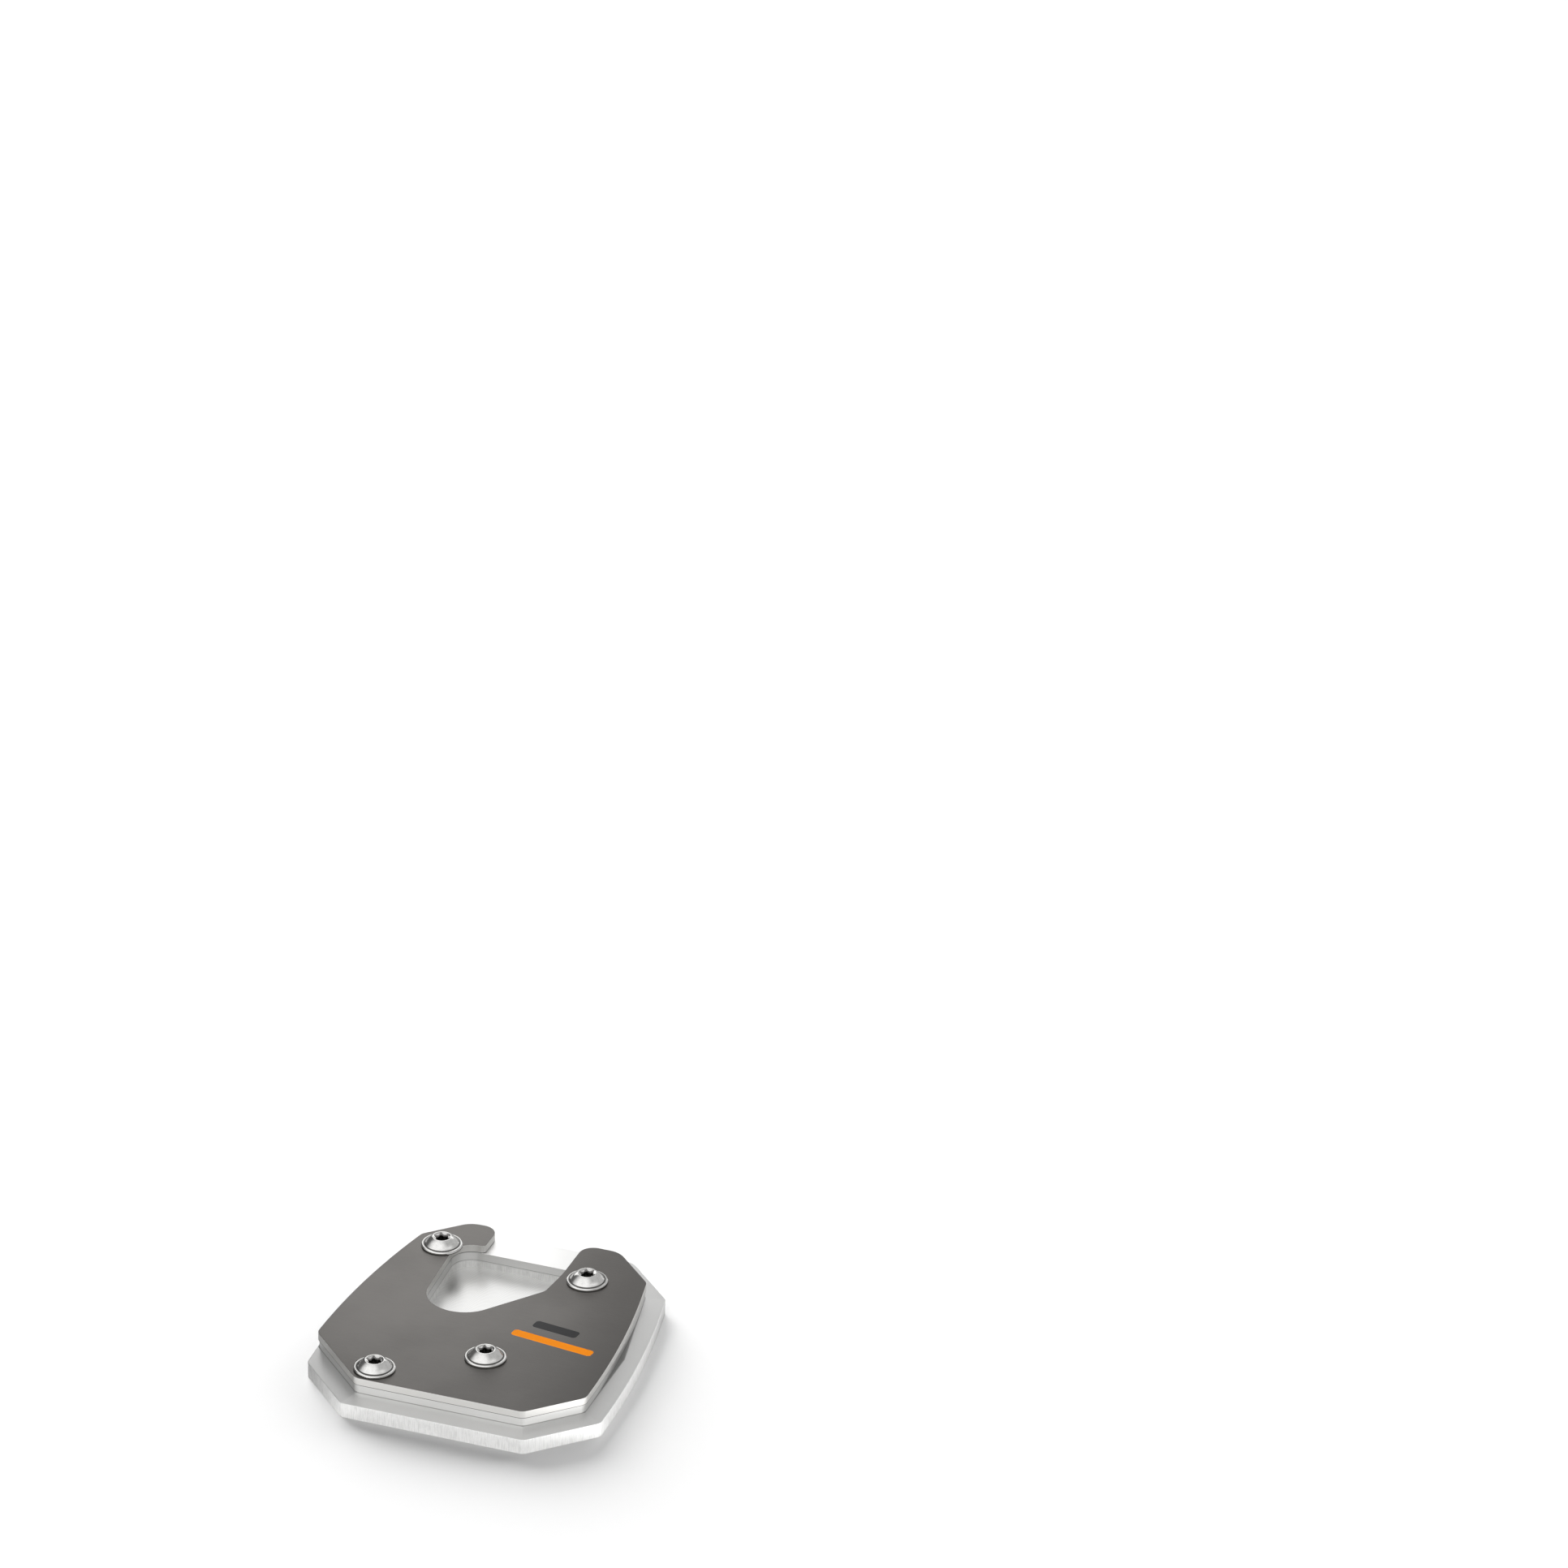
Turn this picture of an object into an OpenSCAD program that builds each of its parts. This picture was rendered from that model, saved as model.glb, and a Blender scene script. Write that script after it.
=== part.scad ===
// Kickstand foot enlarger: a milled aluminium base with a pocket for the
// stand's foot, a steel top plate that traps the foot, and four flanged screws.
// X runs along the front edge, Y from the front edge to the back, Z up.
// The origin is the middle of the underside.

/* [Plate] */
// Width from the cut-out's right edge to the plate's right edge
right_arm_w = 35.2; // [30:0.2:60]
// Length of the top plate, front edge to back edge
plate_l = 106; // [102:0.5:130]
// Thickness of the top plate
plate_t = 2.7; // [1.5:0.1:5]
// Cut of the front left corner, measured from the square corner
front_left_cut = 22.2; // [16:0.2:26]
// Cut of the front right corner
front_right_cut = 15.6; // [10:0.2:24]
// Cut of the back right corner
back_right_cut = 22.9; // [16:0.2:26]
// Cut of the back left corner
back_left_cut = 20.2; // [16:0.2:24]
// Angle by which the back half of the right side leans in
right_lean = 11; // [4:0.5:14]
// Angle by which the back half of the left side leans in
left_lean = 12.6; // [4:0.2:15]
// Distance from the front edge to the middle of the right side's bow
right_bend = 51.3; // [45:0.5:58]
// Distance from the front edge to the middle of the left side's bow
left_bend = 58.9; // [52:0.5:62]
// Radius of the bowed right side
right_bow_r = 360; // [120:10:400]
// Radius of the bowed left side
left_bow_r = 340; // [120:10:400]
// Radius of the plate's corners
plate_corner_r = 4; // [1:0.5:6]
// Radius where the back edge meets the two back corner cuts
lobe_corner_r = 8; // [2:0.5:12]

/* [Cut-out in the plate] */
// Radius of the cut-out's round nose
nose_r = 12.5; // [8:0.5:14]
// Middle of the nose, from the plate's left edge
nose_from_left = 35.1; // [33:0.1:38]
// Middle of the nose, from the plate's front edge
nose_from_front = 63; // [58:0.5:68]
// Angle of the slanted edge to the front edge
slant_a = 52.7; // [48:0.5:58]
// Angle by which the cut-out's left edge leans out towards the back
slot_left_lean = 3.4; // [0:0.2:6]
// Angle by which the cut-out's right edge leans out before it runs straight
slot_right_lean = 6; // [3:0.5:9]
// Distance from the front edge to where the right edge turns straight
slot_right_bend = 86; // [82:0.5:90]
// Right edge of the cut-out, from the plate's left edge
slot_right = 60.2; // [57:0.2:63]
// Width of the throat through which the stand's leg passes
throat_w = 30; // [24:0.5:36]
// Depth of the hooked left lobe, from the back edge forward
hook_depth = 13; // [10:0.5:16]
// Radius of the corner between slanted and right edges
slot_corner_r = 5; // [2:0.5:8]
// Radius of the large turn in the right edge
slot_turn_r = 60; // [20:5:80]
// Radius inside the hook
hook_inner_r = 7; // [4:0.5:8]
// Radius of the hook's tip
hook_tip_r = 1.5; // [0.5:0.5:4]
// Radius of the two corners at the throat's mouth
mouth_r = 5; // [2:0.5:7]

/* [Base] */
// Width of the sloping ledge outside the plate (none on the left side)
ledge_w = 6; // [3:0.5:12]
// Height of the base's outer wall
wall_h = 5.2; // [4:0.1:9]
// Rise of the ledge from the outer wall to the foot of the boss
ledge_rise = 1.1; // [0.4:0.1:3]
// Height of the boss above the ledge's inner edge
boss_h = 2.9; // [1.5:0.1:6]
// How far the plate stands out over the boss
plate_overhang = 0.35; // [0.1:0.05:1.2]
// Radius of the base's corners
base_corner_r = 3; // [2:0.5:8]
// Aluminium left under the pocket
floor_t = 3.7; // [2:0.1:5]
// Reach of the plate over the pocket, along its front and right edges
pocket_lip = 4; // [2:0.2:5]
// Radius of the pocket's nose
pocket_nose_r = 14.5; // [11:0.5:17]
// Radius of the pocket's other corners
pocket_corner_r = 6; // [3:0.5:8]

/* [Screws] */
// Thread diameter
thread_d = 6; // [5:1:6]
// Length under the head
screw_l = 10; // [7:0.5:11.5]
// Diameter of the flange
flange_d = 13.6; // [13:0.2:15]
// Thickness of the flange at its rim
flange_t = 0.9; // [0.5:0.1:1.4]
// Diameter of the domed head
dome_d = 11.3; // [10:0.1:11.8]
// Height of the whole head
head_h = 3.4; // [3:0.1:4.5]
// Diameter of the flat around the recess
head_flat_d = 6.3; // [6.2:0.1:8]
// Six-lobe recess, across its points
recess_d = 5.6; // [4.8:0.1:5.9]
// Radius of the recess's points
recess_point_r = 0.45; // [0.3:0.05:0.6]
// Radius of the hollows between the points
recess_hollow_r = 1.2; // [1.1:0.05:1.4]
// Depth of the recess
recess_depth = 2.4; // [1.5:0.1:2.7]
// Bevel at the screw's end
tip_bevel = 0.8; // [0.4:0.1:1.2]
// Bevel round the top of the flange
rim_bevel = 0.3; // [0.1:0.05:0.5]
// Width of the slope between flange and dome
foot_slope = 0.15; // [0.1:0.05:0.3]
// How far the recess's mouth is opened past its points
mouth_w = 0.15; // [0.05:0.05:0.3]
// Slope of the opened mouth, from level
mouth_a = 30; // [20:5:45]
// Clearance all round between screw and tapped hole
thread_gap = 0.05; // [0.02:0.01:0.2]
// Diameter of the clearance holes in the plate
clear_d = 6.6; // [6.4:0.1:7]
// Bevel of the tapped holes at the underside
hole_bevel = 0.5; // [0.2:0.1:1]
// Front left screw, from the front edge
corner_screw_y = 7.6; // [7:0.1:10]
// Front left screw, from the front left corner cut
corner_screw_inset = 8; // [7:0.1:10]
// Middle screw, leftwards from the cut-out's right edge
middle_screw_x = 3.7; // [0:0.1:10]
// Middle screw, from the plate's front edge
middle_screw_y = 26.9; // [20:0.5:36]
// Back right screw, from the cut-out's right edge
right_screw_x = 9.2; // [8:0.2:12]
// Back right screw, forward from the back edge
right_screw_y = 21.7; // [16:0.5:28]
// Back left screw, from the cut-out's left edge
left_screw_x = 4.3; // [3.6:0.1:6]
// Back left screw, forward from the back edge
left_screw_y = 17.2; // [14:0.2:22]

/* [Hidden] */
$fn = 96;

// Outer sizes that follow from the above
plate_w = slot_right + right_arm_w;
base_w = plate_w + ledge_w;
base_l = plate_l + 2 * ledge_w;
foot_z = wall_h + ledge_rise;
base_h = foot_z + boss_h;
plate_top = base_h + plate_t;
pocket_depth = base_h - floor_t;

// Edges of the plate in the object's own frame
left_x = -base_w / 2;
right_x = left_x + plate_w;
front_y = -plate_l / 2;
back_y = plate_l / 2;
slot_x = left_x + slot_right;
nose = [left_x + nose_from_left, front_y + nose_from_front];
hook_y = back_y - hook_depth;

// Reach past a face, so that a cut leaves no skin
over = 1;
// Reach of each corner's arc past the lines that it joins, so that they cross
arc_reach = 0.002;
// Reach of a slope into the solid or the hole that it ends in
slope_reach = 0.2;
// A turn smaller than this bows a side, a larger one is a corner
bow_turn = 20;
// Greatest share of a side that the corners at its two ends may take
corner_share = 0.95;
// Arcs larger than this are drawn in finer steps
large_r = 20;
large_fn = 720;
// A side that faces left within this angle has no ledge
no_ledge_a = 30;

// Where each screw stands
screw_xy = [
    [left_x + front_left_cut - corner_screw_y + corner_screw_inset * sqrt(2),
     front_y + corner_screw_y],
    [slot_x - middle_screw_x, front_y + middle_screw_y],
    [slot_x + right_screw_x, back_y - right_screw_y],
    [x_on(slot_left(), back_y - left_screw_y) - left_screw_x, back_y - left_screw_y]
];

// A line is [angle of its outward normal, distance from the origin, radius of
// the corner where it meets the next line]. This one passes through a point.
function line_at(angle, point, r) =
    [angle, point[0] * cos(angle) + point[1] * sin(angle), r];
function meet(p, q) =
    let (s = sin(q[0] - p[0]))
    [(p[1] * sin(q[0]) - q[1] * sin(p[0])) / s,
     (q[1] * cos(p[0]) - p[1] * cos(q[0])) / s];
function x_on(l, y) = (l[1] - y * sin(l[0])) / cos(l[0]);
function moved(lines, out, r) =
    [for (l = lines) [l[0], l[1] + out, l[2] + r]];

// Lines of the outer outline, counter-clockwise from the front edge
function outer_right() = [
    line_at(-90, [0, front_y], plate_corner_r),
    line_at(-45, [right_x - front_right_cut, front_y], plate_corner_r),
    line_at(0, [right_x, 0], right_bow_r),
    line_at(right_lean, [right_x, front_y + right_bend], plate_corner_r),
    line_at(45, [right_x - back_right_cut, back_y], lobe_corner_r)
];
function outer_left() = [
    line_at(135, [left_x + back_left_cut, back_y], plate_corner_r),
    line_at(180 - left_lean, [left_x, front_y + left_bend], left_bow_r),
    line_at(180, [left_x, 0], plate_corner_r),
    line_at(225, [left_x + front_left_cut, front_y], plate_corner_r)
];
function back_line(r) = [line_at(90, [0, back_y], r)];

// Lines of the cut-out, from the mouth's right corner round to the hook's tip
function slot_left() =
    line_at(slot_left_lean, nose - nose_r * [cos(slot_left_lean), sin(slot_left_lean)],
            hook_inner_r);
function slot_lines() = [
    line_at(180, [slot_x, 0], slot_turn_r),
    line_at(180 - slot_right_lean, [slot_x, front_y + slot_right_bend], slot_corner_r),
    line_at(90 + slant_a, nose + nose_r * [sin(slant_a), -cos(slant_a)], nose_r),
    slot_left(),
    line_at(-90, [0, hook_y], hook_tip_r),
    line_at(0, [slot_x - throat_w, 0], mouth_r)
];
function plate_lines() = concat(outer_right(), back_line(mouth_r), slot_lines(),
                                back_line(lobe_corner_r), outer_left());
function boss_lines() =
    moved(concat(outer_right(), back_line(lobe_corner_r), outer_left()), -plate_overhang, 0);

// The base stands out past the plate all round, but not on its left side
function has_ledge(l) = abs(l[0] - 180) > no_ledge_a;
function base_lines() =
    [for (l = concat(outer_right(), back_line(lobe_corner_r), outer_left()))
        [l[0], has_ledge(l) ? l[1] + ledge_w : l[1], l[2] + base_corner_r - plate_corner_r]];

// The pocket shares its left and back walls with the cut-out
function pocket_lines() = [
    [slot_left()[0] + 180, -slot_left()[1], pocket_nose_r],
    line_at(slant_a - 90,
            nose + (nose_r + pocket_lip) * [sin(slant_a), -cos(slant_a)], pocket_corner_r),
    line_at(0, [slot_x + pocket_lip, 0], pocket_corner_r),
    line_at(90, [0, hook_y], hook_inner_r)
];

// Outline with true arcs at its corners. Outer corners gain a slice of a disc,
// inner corners lose one. Corners that would meet on a short side shrink alike,
// and a bow takes what they leave.
module outline(lines) {
    n = len(lines);
    pts = [for (i = [0:n - 1]) meet(lines[i], lines[(i + 1) % n])];
    side = [for (i = [0:n - 1]) norm(pts[i] - pts[(i + n - 1) % n])];
    turn = [for (i = [0:n - 1])
        let (d = lines[(i + 1) % n][0] - lines[i][0]) d - 360 * round(d / 360)];
    wish = [for (i = [0:n - 1]) lines[i][2] * tan(abs(turn[i]) / 2)];
    full = [for (i = [0:n - 1]) abs(turn[i]) < bow_turn ? 0 : wish[i]];
    short = [for (i = [0:n - 1])
        let (p = (i + n - 1) % n, q = (i + 1) % n)
        full[i] == 0 ? 0 : full[i] * min(1, corner_share * side[i] / (full[p] + full[i]),
                                         corner_share * side[q] / (full[i] + full[q]))];
    cut = [for (i = [0:n - 1])
        let (p = (i + n - 1) % n, q = (i + 1) % n)
        full[i] == 0 ? min(wish[i], side[i] - short[p], side[q] - short[q]) : short[i]];
    along = [for (l = lines) [-sin(l[0]), cos(l[0])]];
    starts = [for (i = [0:n - 1]) pts[i] - cut[i] * along[i]];
    ends = [for (i = [0:n - 1]) pts[i] + cut[i] * along[(i + 1) % n]];
    r = [for (i = [0:n - 1]) cut[i] / tan(abs(turn[i]) / 2)];
    difference() {
        union() {
            polygon([for (i = [0:n - 1], p = [starts[i], ends[i]]) p]);
            for (i = [0:n - 1]) if (turn[i] > 0)
                corner_slice(starts[i], pts[i], ends[i], lines[i][0], -r[i]);
        }
        for (i = [0:n - 1]) if (turn[i] < 0)
            corner_slice(starts[i], pts[i], ends[i], lines[i][0], r[i]);
    }
}

// The slice of a disc that rounds one corner. It reaches a little past the
// chord, and r is negative at an outer corner.
module corner_slice(start, point, end, angle, r) {
    middle = (start + end) / 2;
    past = middle + (middle - point) / norm(middle - point) * min(over, abs(r) / 2);
    intersection() {
        translate(start + r * [cos(angle), sin(angle)])
            circle(abs(r) + arc_reach, $fn = abs(r) > large_r ? large_fn : $fn);
        polygon([start, point, end, past]);
    }
}

// Everything below the plane that climbs inwards from one line of the base. The
// side without a ledge has a level plane at the foot of the boss.
module under_slope(l) {
    slope = has_ledge(l) ? atan2(ledge_rise, ledge_w + plate_overhang + slope_reach) : 0;
    rotate(l[0]) translate([l[1], 0, has_ledge(l) ? wall_h : foot_z]) rotate([0, slope, 0])
        translate([-2 * base_l, -base_l, -base_l]) cube([2 * base_l + base_h, 2 * base_l, base_l]);
}

module base() {
    hole_r = thread_d / 2 + thread_gap;
    color("silver") difference() {
        union() {
            intersection() {
                linear_extrude(foot_z) outline(base_lines());
                intersection_for(l = base_lines()) under_slope(l);
            }
            linear_extrude(base_h) outline(boss_lines());
        }
        translate([0, 0, floor_t]) linear_extrude(pocket_depth + over) outline(pocket_lines());
        for (p = screw_xy) translate([p[0], p[1], -over]) {
            cylinder(r = hole_r, h = base_h + 2 * over);
            cylinder(r1 = hole_r + hole_bevel + over, r2 = hole_r - slope_reach,
                     h = over + hole_bevel + slope_reach);
        }
    }
}

module top_plate() {
    color("dimgray") translate([0, 0, base_h]) difference() {
        linear_extrude(plate_t) outline(plate_lines());
        for (p = screw_xy) translate([p[0], p[1], -over])
            cylinder(d = clear_d, h = plate_t + 2 * over);
    }
}

// Six-lobe recess: the hollows are discs that touch the discs of the points
point_ring = recess_d / 2 - recess_point_r;
lobe_reach = recess_point_r + recess_hollow_r;
hollow_ring = point_ring * cos(30) + sqrt(pow(lobe_reach, 2) - pow(point_ring * sin(30), 2));
module recess_outline() {
    difference() {
        polygon([for (i = [0:5], s = [[point_ring, 60 * i], [hollow_ring, 60 * i + 30]])
            s[0] * [cos(s[1]), sin(s[1])]]);
        for (i = [0:5]) rotate(60 * i + 30) translate([hollow_ring, 0]) circle(recess_hollow_r);
    }
    for (i = [0:5]) rotate(60 * i) translate([point_ring, 0]) circle(recess_point_r);
}

// A cone opens the recess's mouth and ends inside the recess
module recess_mouth() {
    small_r = hollow_ring - recess_hollow_r - slope_reach;
    mouth_h = (recess_d / 2 + mouth_w - small_r) * tan(mouth_a);
    translate([0, 0, head_h - mouth_h])
        cylinder(r1 = small_r, r2 = recess_d / 2 + mouth_w + over / tan(mouth_a),
                 h = mouth_h + over);
}

module screw(i) {
    dome_h = head_h - flange_t;
    // Height up which the slope at the dome's foot runs, into the dome
    run = 4 * foot_slope;
    // Height of the dome's foot above the centre of its sphere
    dome_z = (dome_d * dome_d - head_flat_d * head_flat_d) / (8 * dome_h) - dome_h / 2;
    color("gainsboro") translate([screw_xy[i][0], screw_xy[i][1], plate_top]) difference() {
        union() {
            rotate_extrude() polygon([[0, 0], [flange_d / 2, 0],
                [flange_d / 2, flange_t - rim_bevel], [flange_d / 2 - rim_bevel, flange_t],
                [dome_d / 2 + foot_slope, flange_t],
                [dome_d / 2 + foot_slope - run, flange_t + run], [0, flange_t + run]]);
            intersection() {
                translate([0, 0, flange_t - dome_z]) sphere(norm([dome_d / 2, dome_z]));
                cylinder(d = dome_d, h = head_h);
            }
            translate([0, 0, -screw_l]) rotate_extrude()
                polygon([[0, 0], [thread_d / 2 - tip_bevel, 0], [thread_d / 2, tip_bevel],
                         [thread_d / 2, screw_l], [0, screw_l]]);
        }
        translate([0, 0, head_h - recess_depth]) linear_extrude(recess_depth + over)
            recess_outline();
        recess_mouth();
    }
}

base();
top_plate();
screw(0);  // screw_front_left
screw(1);  // screw_front_middle
screw(2);  // screw_back_right
screw(3);  // screw_back_left
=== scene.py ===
import math

import bmesh
import bpy
from mathutils import Matrix, Vector


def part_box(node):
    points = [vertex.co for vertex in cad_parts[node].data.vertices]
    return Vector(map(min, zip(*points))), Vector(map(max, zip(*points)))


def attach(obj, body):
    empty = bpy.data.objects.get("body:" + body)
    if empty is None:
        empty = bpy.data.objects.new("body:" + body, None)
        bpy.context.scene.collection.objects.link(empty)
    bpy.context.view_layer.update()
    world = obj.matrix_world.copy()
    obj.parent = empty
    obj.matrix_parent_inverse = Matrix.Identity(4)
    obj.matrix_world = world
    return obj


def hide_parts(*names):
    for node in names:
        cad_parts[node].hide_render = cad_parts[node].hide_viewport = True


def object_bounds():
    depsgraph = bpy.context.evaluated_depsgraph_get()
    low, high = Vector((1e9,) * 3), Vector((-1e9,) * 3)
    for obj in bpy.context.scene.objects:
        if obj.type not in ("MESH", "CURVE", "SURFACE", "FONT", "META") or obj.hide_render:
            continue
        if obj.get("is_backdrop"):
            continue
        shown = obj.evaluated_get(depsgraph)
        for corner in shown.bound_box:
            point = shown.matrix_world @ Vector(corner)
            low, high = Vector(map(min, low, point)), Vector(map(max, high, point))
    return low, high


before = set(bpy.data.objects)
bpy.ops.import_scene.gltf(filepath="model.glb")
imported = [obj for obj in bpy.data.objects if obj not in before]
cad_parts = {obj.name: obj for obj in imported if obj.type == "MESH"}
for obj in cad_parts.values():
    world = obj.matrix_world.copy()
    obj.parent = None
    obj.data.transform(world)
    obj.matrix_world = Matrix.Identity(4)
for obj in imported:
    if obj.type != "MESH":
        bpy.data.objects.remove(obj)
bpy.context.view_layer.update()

# Base: one piece of aluminium plate, sawn to its outline and then milled. The
# outer wall keeps the saw's fine upright marks, the pocket's floor and the
# underside the cutter's arcs, and the ledge the satin finish of a last pass.
MM = 0.001
BASE_EDGE = 0.2 * MM
LEDGE_SEAM = math.radians(3)
SHARP = math.radians(25)
FLAT = math.radians(0.05)
TOUCHING = 0.001 * MM
LEDGE_LOW = 4.6 * MM
WALL_TOP = 5.6 * MM
BOSS_FOOT = 6.3 * MM
BOSS_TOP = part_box("base")[1].z
FOOT_RISE = (BOSS_FOOT - 0.08 * MM, BOSS_FOOT)
FOOT_FALL = (BOSS_FOOT + 0.1 * MM, BOSS_FOOT + 0.3 * MM)
UNDER_PLATE = (BOSS_TOP - 0.25 * MM, BOSS_TOP - 0.05 * MM)
ALUMINIUM = (0.88, 0.88, 0.87, 1)
ALUMINIUM_SAWN = (0.74, 0.74, 0.73, 1)
# A dark grey for grime, and for painted shade in the creases between the boss, the ledge and the
# plate.
GRIME_AND_SHADE = (0.15, 0.147, 0.143, 1)
CUTTER_R = 6 * MM
CUTTER_STEP = 7 * MM
CUTTER_PITCH = 0.7 * MM
SAW_MARKS = (0.22 * MM, 0.22 * MM, 4 * MM)
SAW_PATCHES = (1.8 * MM, 1.8 * MM, 2.4 * MM)
MILLED_LINES = (14 * MM, 14 * MM, 0.3 * MM)
SATIN_GRAIN = (0.3 * MM, 0.3 * MM, 0.3 * MM)
BASE_CLOUDS = (16 * MM, 16 * MM, 16 * MM)
MILLED_DEPTH = 0.01 * MM
INK_SHINE = 0.02


class Wire:
    """A socket in a material's nodes. Arithmetic on it adds Math nodes."""

    def __init__(self, tree, socket=None):
        self.tree = tree
        self.socket = socket

    def node(self, kind, settings=None, inputs=None, output=0):
        """Adds a node, sets it, fills its sockets and gives the wire of one output."""
        made = self.tree.nodes.new("ShaderNode" + kind)
        for name, value in (settings or {}).items():
            setattr(made, name, value)
        for name, value in (inputs or {}).items():
            if isinstance(value, Wire):
                self.tree.links.new(value.socket, made.inputs[name])
            else:
                made.inputs[name].default_value = value
        return Wire(self.tree, made.outputs[output]) if made.outputs else None

    def math(self, operation, *values):
        return self.node("Math", {"operation": operation}, dict(enumerate((self, *values))))

    def __add__(self, other):
        return self.math("ADD", other)

    def __sub__(self, other):
        return self.math("SUBTRACT", other)

    def __rsub__(self, other):
        return self * -1.0 + other

    def __mul__(self, other):
        return self.math("MULTIPLY", other)

    __radd__ = __add__
    __rmul__ = __mul__

    def step(self, low, high):
        """0 below low and 1 above high, with a smooth rise between."""
        return self.node("MapRange", {"interpolation_type": "SMOOTHSTEP"},
                         {"Value": self, "From Min": low, "From Max": high})

    def band(self, rise, fall):
        """1 between two values, each given as the pair that it rises or falls over."""
        return self.step(*rise) * (1.0 - self.step(*fall))

    def mix(self, first, second):
        """The first colour where this wire is 0, and the second where it is 1."""
        return self.node("Mix", {"data_type": "RGBA"}, {0: self, 6: first, 7: second}, output=2)

    def noise(self, sizes, detail=2.0):
        """Noise between 0 and 1, with features of these sizes in metres."""
        stretched = self.node("VectorMath", {"operation": "DIVIDE"}, {0: self, 1: sizes})
        return self.node("TexNoise", None,
                         {"Vector": stretched, "Scale": 1.0, "Detail": detail}, output="Fac")

    def axis(self, name):
        return self.node("SeparateXYZ", None, {0: self}, output=name)


def new_finish(name):
    """A bare material, with wires for the place and the normal on the piece."""
    material = bpy.data.materials.new(name)
    material.use_nodes = True
    material.node_tree.nodes.clear()
    start = Wire(material.node_tree)
    place = start.node("TexCoord", output="Object")
    return material, place, start.node("TexCoord", output="Normal")


def finish_as(height, depth, colour, roughness, metallic=1.0):
    """Ends a material in a surface whose bumps are this deep. Where it isn't metal,
    it is matt ink."""
    bump = height.node("Bump", None, {"Distance": depth, "Height": height})
    surface = height.node("BsdfPrincipled", None, {
        "Base Color": colour, "Metallic": metallic, "Roughness": roughness, "Normal": bump,
        "Specular IOR Level": INK_SHINE})
    surface.node("OutputMaterial", None, {"Surface": surface})


def eased(node, width=0.0, seam=SHARP):
    """A copy of a CAD node whose edges are eased, as deburring leaves them. Without
    a width, its edges stay crisp."""
    bm = bmesh.new()
    bm.from_mesh(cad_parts[node].data)
    bmesh.ops.remove_doubles(bm, verts=bm.verts, dist=TOUCHING)
    bmesh.ops.dissolve_limit(bm, angle_limit=FLAT, verts=bm.verts, edges=bm.edges,
                             use_dissolve_boundaries=False)
    weights = bm.edges.layers.float.new("bevel_weight_edge")
    for edge in bm.edges:
        angle = edge.calc_face_angle(0.0)
        level = all(abs(face.normal.z) > 0.9 for face in edge.link_faces)
        if angle > SHARP or (level and angle > seam):
            edge[weights] = 1.0 if edge.is_convex else 0.0
            edge.smooth = width > 0 and edge.is_convex
    for face in bm.faces:
        face.smooth = True
    mesh = bpy.data.meshes.new(node + "_eased")
    bm.to_mesh(mesh)
    bm.free()
    piece = bpy.data.objects.new(mesh.name, mesh)
    bpy.context.scene.collection.objects.link(piece)
    if width:
        bevel = piece.modifiers.new("eased_edges", "BEVEL")
        bevel.limit_method = "WEIGHT"
        bevel.width = width
        bevel.segments = 3
        bevel.use_clamp_overlap = False
    normals = piece.modifiers.new("flat_faces_stay_flat", "WEIGHTED_NORMAL")
    normals.weight = 50
    normals.keep_sharp = True
    return piece


aluminium, place, normal = new_finish("milled_aluminium")
level = normal.axis("Z").math("ABSOLUTE").step(0.4, 0.8)
upright = 1.0 - level
z = place.axis("Z")
ledge = z.step(LEDGE_LOW, LEDGE_LOW + 0.2 * MM) * level
boss = z.step(WALL_TOP, BOSS_FOOT)
wall = 1.0 - boss
across = place.axis("X").math("WRAP", CUTTER_STEP / 2, -CUTTER_STEP / 2)
reach = (CUTTER_R * CUTTER_R - across * across).math("SQRT")
arcs = ((place.axis("Y") + reach) * (2 * math.pi / CUTTER_PITCH)).math("SINE") * 0.5 + 0.5
sawn = place.noise(SAW_MARKS, 3.0)
sawn_patches = place.noise(SAW_PATCHES, 3.0)
milled_lines = place.noise(MILLED_LINES, 2.0)
grain = place.noise(SATIN_GRAIN, 3.0)
clouds = place.noise(BASE_CLOUDS, 3.0)
on_upright = sawn * wall + milled_lines * boss
on_level = grain * ledge + (arcs * 0.8 + grain * 0.2) * (1.0 - ledge)
marks = on_upright * upright + on_level * level
dull = (sawn * 0.6 + sawn_patches * 0.25 + grain * 0.15).step(0.42, 0.64) * wall
dull = dull + milled_lines.step(0.4, 0.7) * boss * 0.2
dull = dull * upright + clouds.step(0.35, 0.75) * 0.15
# Painted shade: the top of the boss wall, under the plate's overhang, and a thin line at the
# boss's foot are painted dark.
seam = z.step(*UNDER_PLATE) * upright
foot = z.band(FOOT_RISE, FOOT_FALL)
# The boss wall is also a little darker all over, and the pocket floor and the underside are
# darker along the cutter's arcs.
grime_and_shade = seam.math("MAXIMUM", foot * 0.7).math("MAXIMUM", boss * upright * 0.28)
grime_and_shade = grime_and_shade.math("MAXIMUM", (1.0 - ledge) * level * (arcs * 0.2 + 0.2))
finish_as(marks, MILLED_DEPTH, grime_and_shade.mix(dull.mix(ALUMINIUM, ALUMINIUM_SAWN), GRIME_AND_SHADE),
          dull * 0.08 + ledge * 0.14 + upright * wall * 0.12 + 0.3)

base = eased("base", BASE_EDGE, LEDGE_SEAM)
base.data.materials.append(aluminium)
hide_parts("base")
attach(base, "root")
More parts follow.
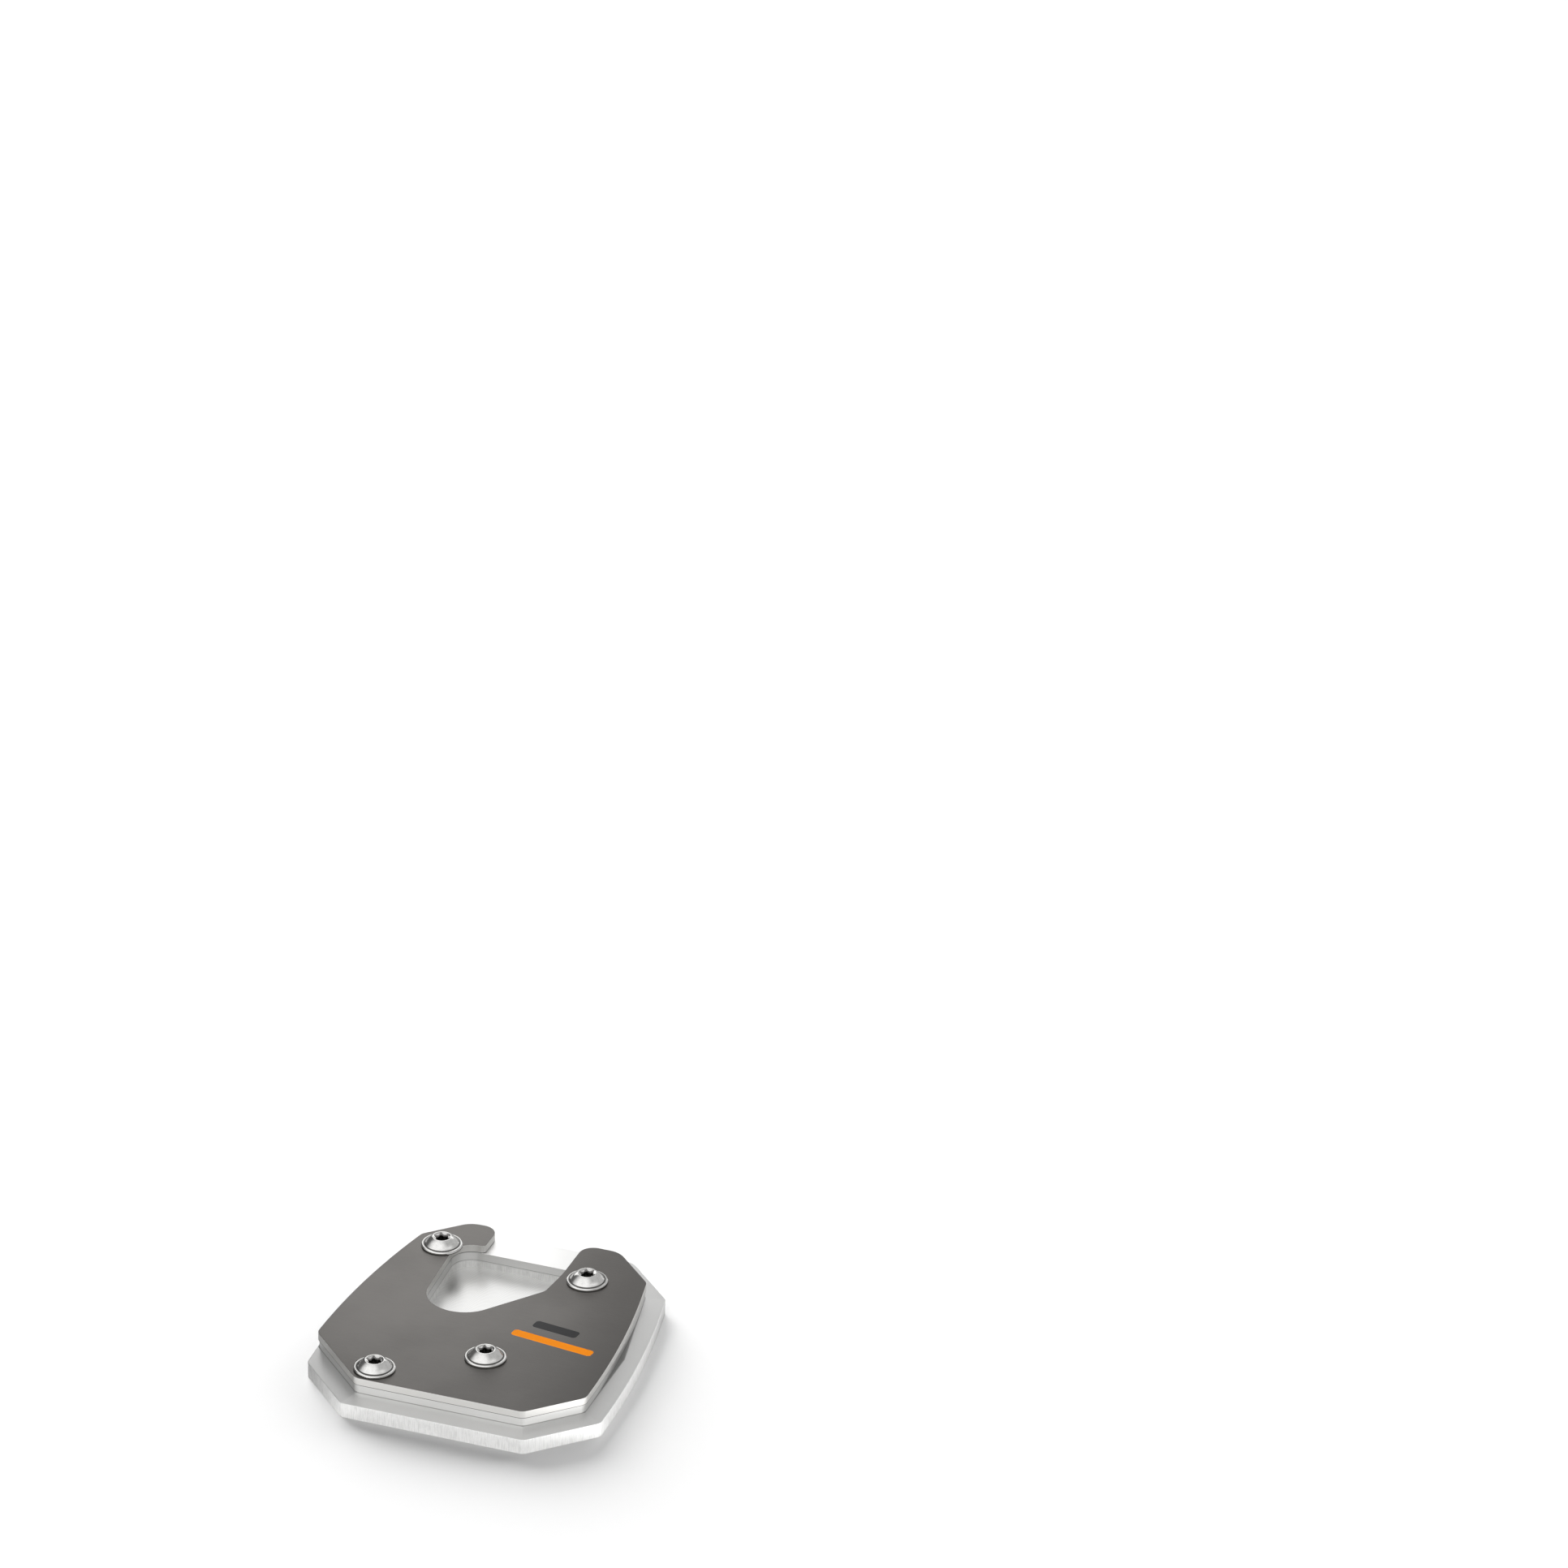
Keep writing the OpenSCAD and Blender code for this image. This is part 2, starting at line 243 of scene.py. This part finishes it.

# Top plate: stainless steel sheet, cut to a horseshoe and finely brushed on its
# face. The face is painted a dull warm grey, which paints in the dark reflection
# that it shows, and its cut edge is brighter. A plain orange bar and a plain
# black one are printed on it beside the cut-out.
PLATE_EDGE = 0.12 * MM
# Painted reflection: the face's steel is coloured far darker than the cut steel, standing in for
# the dark reflection the face shows.
SHADED_FACE_STEEL = (0.157, 0.15, 0.142, 1)
SHADED_FACE_STEEL_WORN = (0.139, 0.133, 0.126, 1)
CUT_STEEL = (0.66, 0.652, 0.634, 1)
BRUSH_LINES = (4 * MM, 0.15 * MM, 0.15 * MM)
SPECKLE = (0.25 * MM, 0.25 * MM, 0.25 * MM)
CUT_LINES = (10 * MM, 10 * MM, 0.2 * MM)
PLATE_CLOUDS = (30 * MM, 30 * MM, 30 * MM)
BRUSHED_DEPTH = 0.004 * MM
ORANGE = (0.72, 0.212, 0.003, 1)
ORANGE_CENTRE = (22.3 * MM, -9.3 * MM, 0)
ORANGE_SIZE = (29.2 * MM, 3.7 * MM)
BLACK = (0.03, 0.03, 0.031, 1)
BLACK_CENTRE = (20.4 * MM, -1.0 * MM, 0)
BLACK_SIZE = (16 * MM, 4.2 * MM)
BAR_TURN = math.radians(-7.7)
BAR_CORNER = 1.2 * MM
BAR_BLUR = 0.05 * MM
# Heights of the painted shade at the foot of the plate's cut edge.
JOINT = (BOSS_TOP + 0.17 * MM, BOSS_TOP + 0.3 * MM)


def bar(place, centre, size):
    """A mask that is 1 inside a printed bar with rounded corners."""
    turned = place.node("Mapping", {"vector_type": "TEXTURE"},
                        {"Vector": place, "Location": centre, "Rotation": (0, 0, BAR_TURN)})
    past_x = (turned.axis("X").math("ABSOLUTE") - (size[0] / 2 - BAR_CORNER)).math("MAXIMUM", 0.0)
    past_y = (turned.axis("Y").math("ABSOLUTE") - (size[1] / 2 - BAR_CORNER)).math("MAXIMUM", 0.0)
    away = (past_x * past_x + past_y * past_y).math("SQRT")
    return 1.0 - away.step(BAR_CORNER - BAR_BLUR, BAR_CORNER + BAR_BLUR)


steel, place, normal = new_finish("brushed_steel_sheet")
face = normal.axis("Z").step(0.5, 0.9)
brush = place.noise(BRUSH_LINES, 3.0)
speckle = place.noise(SPECKLE, 3.0)
cut_lines = place.noise(CUT_LINES, 2.0)
clouds = place.noise(PLATE_CLOUDS, 2.0)
marks = (brush * 0.6 + speckle * 0.4) * face + cut_lines * (1.0 - face)
orange = bar(place, ORANGE_CENTRE, ORANGE_SIZE) * face
black = bar(place, BLACK_CENTRE, BLACK_SIZE) * face
worn = (clouds * 0.5 + brush * 0.3 + speckle * 0.2).step(0.35, 0.65)
# Painted shade: the foot of the plate's cut edge, in its joint with the boss, is painted dark.
joint_shade = 1.0 - place.axis("Z").step(*JOINT)
colour = face.mix(joint_shade.mix(CUT_STEEL, GRIME_AND_SHADE), worn.mix(SHADED_FACE_STEEL, SHADED_FACE_STEEL_WORN))
colour = black.mix(orange.mix(colour, ORANGE), BLACK)
finish_as(marks * (1.0 - orange), BRUSHED_DEPTH, colour, worn * 0.04 + face * 0.04 + 0.34,
          1.0 - orange)

plate = eased("top_plate", PLATE_EDGE)
plate.data.materials.append(steel)
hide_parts("top_plate")
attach(plate, "root")

# Screws: flanged button heads with a six-lobe recess, cold headed in stainless
# steel and tumbled, so that they shine softly and every edge is rounded. The
# recess is bright at its mouth, and below it is painted dark as shade. Painted
# shade also darkens a ring on the flange at the dome's foot, and the flange's
# foot on the plate.
RECESS_R = 2.9 * MM
RECESS_TOP = 0.35 * MM
RECESS_SLOT = 1
DOME_R = 5.65 * MM
HEAD_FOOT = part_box("top_plate")[1].z
HEAD_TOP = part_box("screw_front_left")[1].z
RING_RISE = (DOME_R - 0.12 * MM, DOME_R + 0.05 * MM)
RING_FALL = (DOME_R + 0.2 * MM, DOME_R + 0.9 * MM)
FLANGE_FOOT = (HEAD_FOOT + 0.1 * MM, HEAD_FOOT + 0.4 * MM)
RECESS_MOUTH = (HEAD_TOP - 1.6 * MM, HEAD_TOP - 0.9 * MM)
STAINLESS = (0.78, 0.775, 0.76, 1)
STAINLESS_WORN = (0.62, 0.615, 0.60, 1)
MOUTH = (0.8, 0.79, 0.78, 1)
MOUTH_WORN = (0.9, 0.89, 0.88, 1)
# The dark grey of the painted shade on the screws.
PAINTED_ROOT_SHADE = (0.09, 0.088, 0.085, 1)
TUMBLED_GRAIN = (0.14 * MM, 0.14 * MM, 0.14 * MM)
TUMBLED_PATCHES = (1.4 * MM, 1.4 * MM, 1.4 * MM)
TUMBLED_DEPTH = 0.003 * MM

screw_metals = []
for name, clean, rubbed, roughness in (
        ("tumbled_stainless", STAINLESS, STAINLESS_WORN, 0.17),
        ("recess_stainless", MOUTH, MOUTH_WORN, 0.14)):
    material, place, _ = new_finish(name)
    grain = place.noise(TUMBLED_GRAIN, 2.0)
    patches = place.noise(TUMBLED_PATCHES, 3.0)
    worn = (patches * 0.6 + grain * 0.4).step(0.4, 0.7) * 0.7
    axis = place.node("Attribute", {"attribute_name": "screw_axis"}, output="Vector")
    across = place.node("VectorMath", {"operation": "SUBTRACT"}, {0: place, 1: axis})
    across = across.node("VectorMath", {"operation": "MULTIPLY"}, {0: across, 1: (1, 1, 0)})
    from_axis = across.node("VectorMath", {"operation": "LENGTH"}, {0: across}, output="Value")
    z = place.axis("Z")
    # Painted shade: a ring on the flange at the dome's foot, the flange's foot, and in the recess
    # everything below its mouth.
    root = from_axis.band(RING_RISE, RING_FALL).math("MAXIMUM", 1.0 - z.step(*FLANGE_FOOT))
    if name == "recess_stainless":
        mouth = z.step(*RECESS_MOUTH)
        root = root.math("MAXIMUM", 1.0 - mouth)
        roughness = mouth * 0.45 + roughness
    colour = root.mix(worn.mix(clean, rubbed), PAINTED_ROOT_SHADE)
    finish_as(patches * 0.5 + grain * 0.5, TUMBLED_DEPTH, colour,
              worn * 0.06 + root * 0.2 + roughness)
    screw_metals.append(material)

for node in [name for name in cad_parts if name.startswith("screw_")]:
    screw = eased(node)
    low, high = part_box(node)
    for metal in screw_metals:
        screw.data.materials.append(metal)
    axis = (low + high) / 2
    for point in screw.data.attributes.new("screw_axis", "FLOAT_VECTOR", "POINT").data:
        point.vector = axis
    for face in screw.data.polygons:
        corners = [screw.data.vertices[index].co for index in face.vertices]
        inside = all((corner.xy - axis.xy).length < RECESS_R for corner in corners)
        if inside and HEAD_FOOT < face.center.z < high.z - RECESS_TOP:
            face.material_index = RECESS_SLOT
    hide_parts(node)
    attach(screw, "root")

# Floor: a plain pale floor that keeps the part's soft shadow. In metal it shows
# bright in front of the part and to its right, and dark behind and to its left.
FLOOR_HALF = 4.0
FLOOR_PAINT = (0.88, 0.88, 0.88, 1)
FLOOR_SHOWN = 0.6
FRONT_SIDE = (0.15, -0.99, 0)
SHINE_FRONT = 1.05
SHINE_FRONT_RIGHT = 1.6
SHINE_RIGHT = 1.35
SHINE_MIDDLE = 0.15
SHINE_LEFT = 0.05


def towards(wire, side):
    """How far a place or a direction reaches towards a side."""
    return wire.node("VectorMath", {"operation": "DOT_PRODUCT"}, {0: wire, 1: side}, "Value")


bm = bmesh.new()
bmesh.ops.create_grid(bm, x_segments=1, y_segments=1, size=FLOOR_HALF)
mesh = bpy.data.meshes.new("floor")
bm.to_mesh(mesh)
bm.free()
floor = bpy.data.objects.new("floor", mesh)
bpy.context.scene.collection.objects.link(floor)
paint, place, _ = new_finish("floor_paint")
in_front = towards(place, FRONT_SIDE).step(0.03, 0.06)
along = place.axis("X")
shine = in_front * (along.step(0.05, 0.075) * SHINE_FRONT_RIGHT + SHINE_FRONT)
shine = shine + along.step(0.04, 0.06) * SHINE_RIGHT
shine = shine + along.step(-0.065, -0.04) * SHINE_MIDDLE + SHINE_LEFT
glossy = place.node("LightPath", output="Is Glossy Ray")
matt = place.node("BsdfDiffuse", None, {"Color": FLOOR_PAINT})
shown = place.node("Emission", None, {"Color": shine})
surface = place.node("MixShader", None, {0: glossy * FLOOR_SHOWN, 1: matt, 2: shown})
surface.node("OutputMaterial", None, {"Surface": surface})
floor.data.materials.append(paint)
floor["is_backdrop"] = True

# Light: an even pale room, which metal shows brighter in front and to the right
# and dimmer at the back left. Two low soft suns from behind lay the shadow, and
# two small soft lamps brighten the plate's left half and its back right corner.
ROOM = 0.336
BRIGHT_SIDE = (0.9, -0.44, 0)
DARK_SIDE = (-0.75, 0.66, 0)
FRONT_ABOVE = (-0.25, -0.68, 0.69)
SHOWN_BRIGHT = 0.8
SHOWN_DARK = 0.44
SHOWN_FRONT = 0.64
SHOWN_ROOM = 0.56
SUN_SPREAD = math.radians(52)

world = bpy.data.worlds.new("studio")
bpy.context.scene.world = world
world.use_nodes = True
world.node_tree.nodes.clear()
sky = Wire(world.node_tree).node("TexCoord", output="Generated")
bright = towards(sky, BRIGHT_SIDE).step(0.55, 0.98)
dark = towards(sky, DARK_SIDE).step(0.57, 0.8)
front = towards(sky, FRONT_ABOVE).step(0.5, 0.95)
room = bright * SHOWN_BRIGHT - dark * SHOWN_DARK + front * SHOWN_FRONT + SHOWN_ROOM
metal = sky.node("LightPath", output="Is Glossy Ray")
seen = sky.node("LightPath", output="Is Camera Ray")
room = metal * (room - ROOM) + ROOM
back = sky.node("Background", None, {"Color": room + seen * (1.0 - room)})
back.node("OutputWorld", None, {"Surface": back})


def aim(light, place, target):
    """Puts a light at a place, facing a target."""
    lamp = bpy.data.objects.new(light.name, light)
    lamp.location = place
    lamp.rotation_mode = "QUATERNION"
    lamp.rotation_quaternion = (Vector(target) - Vector(place)).to_track_quat("-Z", "Y")
    bpy.context.scene.collection.objects.link(lamp)
    return lamp


for name, power, place in (
        ("left_sun", 9.1, (-0.66, 0.76, 0.215)),
        ("right_sun", 2.4, (0.4, 0.9, 0.24))):
    low_sun = bpy.data.lights.new(name, "SUN")
    low_sun.energy = power
    low_sun.angle = SUN_SPREAD
    aim(low_sun, place, (0, 0, 0)).visible_glossy = False

for name, side, power, place, target in (
        ("left_lamp", 0.12, 0.06, (-0.085, 0.135, 0.09), (-0.035, 0.0, 0.012)),
        ("right_lamp", 0.05, 0.008, (-0.004, 0.18, 0.081), (0.04, 0.055, 0.012))):
    lamp = bpy.data.lights.new(name, "AREA")
    lamp.shape = "SQUARE"
    lamp.size = side
    lamp.energy = power
    near = aim(lamp, place, target)
    near.visible_camera = False
    near.visible_diffuse = False

# Camera: far off with a long lens, in front and to the right, looking down. The
# part stands low and to the left in the picture.
PICTURE = 1932
LENS_PIXELS = 12000
SENSOR = 36
HEADING = math.radians(19.467)
TILT = math.radians(27.344)
ROLL = math.radians(1.118)
STANDS_AT = (0.99056, -2.53518, 1.61456)

cam_data = bpy.data.cameras.new("camera")
cam_data.sensor_width = SENSOR
cam_data.lens = SENSOR * LENS_PIXELS / PICTURE
cam_data.clip_start = 0.1
cam_data.clip_end = 20
camera = bpy.data.objects.new("camera", cam_data)
bpy.context.scene.collection.objects.link(camera)
turn = (Matrix.Rotation(HEADING, 4, "Z") @ Matrix.Rotation(math.pi / 2 - TILT, 4, "X")
        @ Matrix.Rotation(ROLL, 4, "Z"))
camera.matrix_world = Matrix.Translation(STANDS_AT) @ turn
bpy.context.scene.camera = camera
bpy.context.scene.view_settings.view_transform = "Standard"

low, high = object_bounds()
